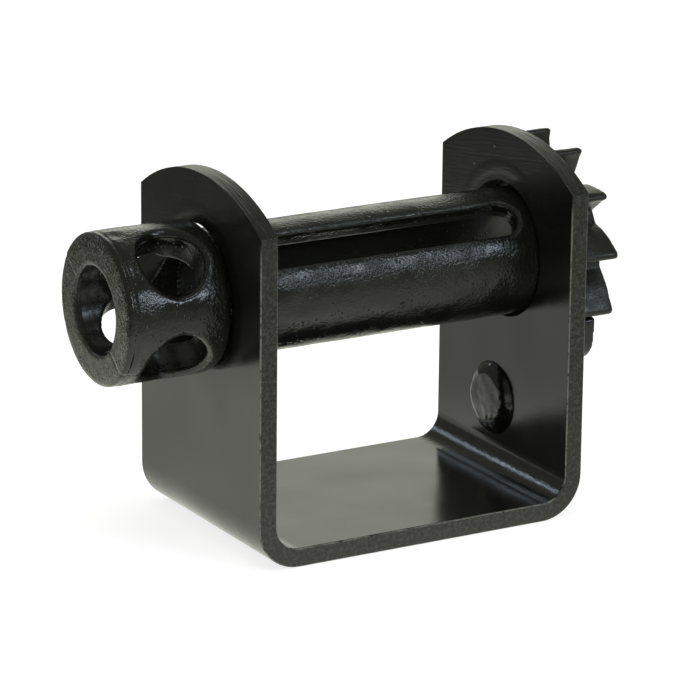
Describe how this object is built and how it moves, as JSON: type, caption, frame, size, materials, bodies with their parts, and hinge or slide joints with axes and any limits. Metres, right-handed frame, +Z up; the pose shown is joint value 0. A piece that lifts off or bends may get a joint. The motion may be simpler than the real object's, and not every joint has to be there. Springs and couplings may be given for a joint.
{
  "type": "weld-on cargo strap winch",
  "caption": "Weld-on winch for flatbed cargo straps: bent steel frame, slotted drum turned by a bar in the cap's crossed holes, ratchet wheel and pawl.",
  "frame": {"origin": "centre of the underside of the base plate, the face that is welded down", "axes": "+X along the drum axis from the bar cap to the ratchet wheel; -Y the side the strap slot faces in the stored pose; +Z up from the weld face towards the drum"},
  "size_m": [0.2029, 0.0952, 0.144],
  "materials": {
    "frame_paint": "gloss black enamel over flat steel bar with brush lines",
    "drum_tube_paint": "gloss black enamel over slightly rough pipe",
    "winch_cap_paint": "gloss black enamel over an as-forged skin",
    "ratchet_wheel_paint": "gloss black enamel over an as-cast skin",
    "pawl_paint": "gloss black enamel over cut steel plate",
    "pawl_rivet_paint": "gloss black enamel over a hammered head",
    "cap_weld_paint": "gloss black enamel over a weld bead",
    "ratchet_weld_paint": "gloss black enamel over a weld bead"
  },
  "bodies": {
    "frame": {"frame": "frame_paint", "pawl_rivet": "pawl_rivet_paint"},
    "drum": {"drum_tube": "drum_tube_paint", "winch_cap": "winch_cap_paint", "ratchet_wheel": "ratchet_wheel_paint", "cap_weld": "cap_weld_paint", "ratchet_weld": "ratchet_weld_paint"},
    "pawl": {"pawl": "pawl_paint"}
  },
  "joints": [
    {"name": "drum_spin", "type": "hinge", "parent": "frame", "child": "drum", "pos_m": [0, 0, 0.0964], "axis": [1, 0, 0], "continuous": true},
    {"name": "pawl_pivot", "type": "hinge", "parent": "frame", "child": "pawl", "pos_m": [0.076, 0.0061, 0.0343], "axis": [1, 0, 0], "range_deg": [0, 65]}
  ]
}
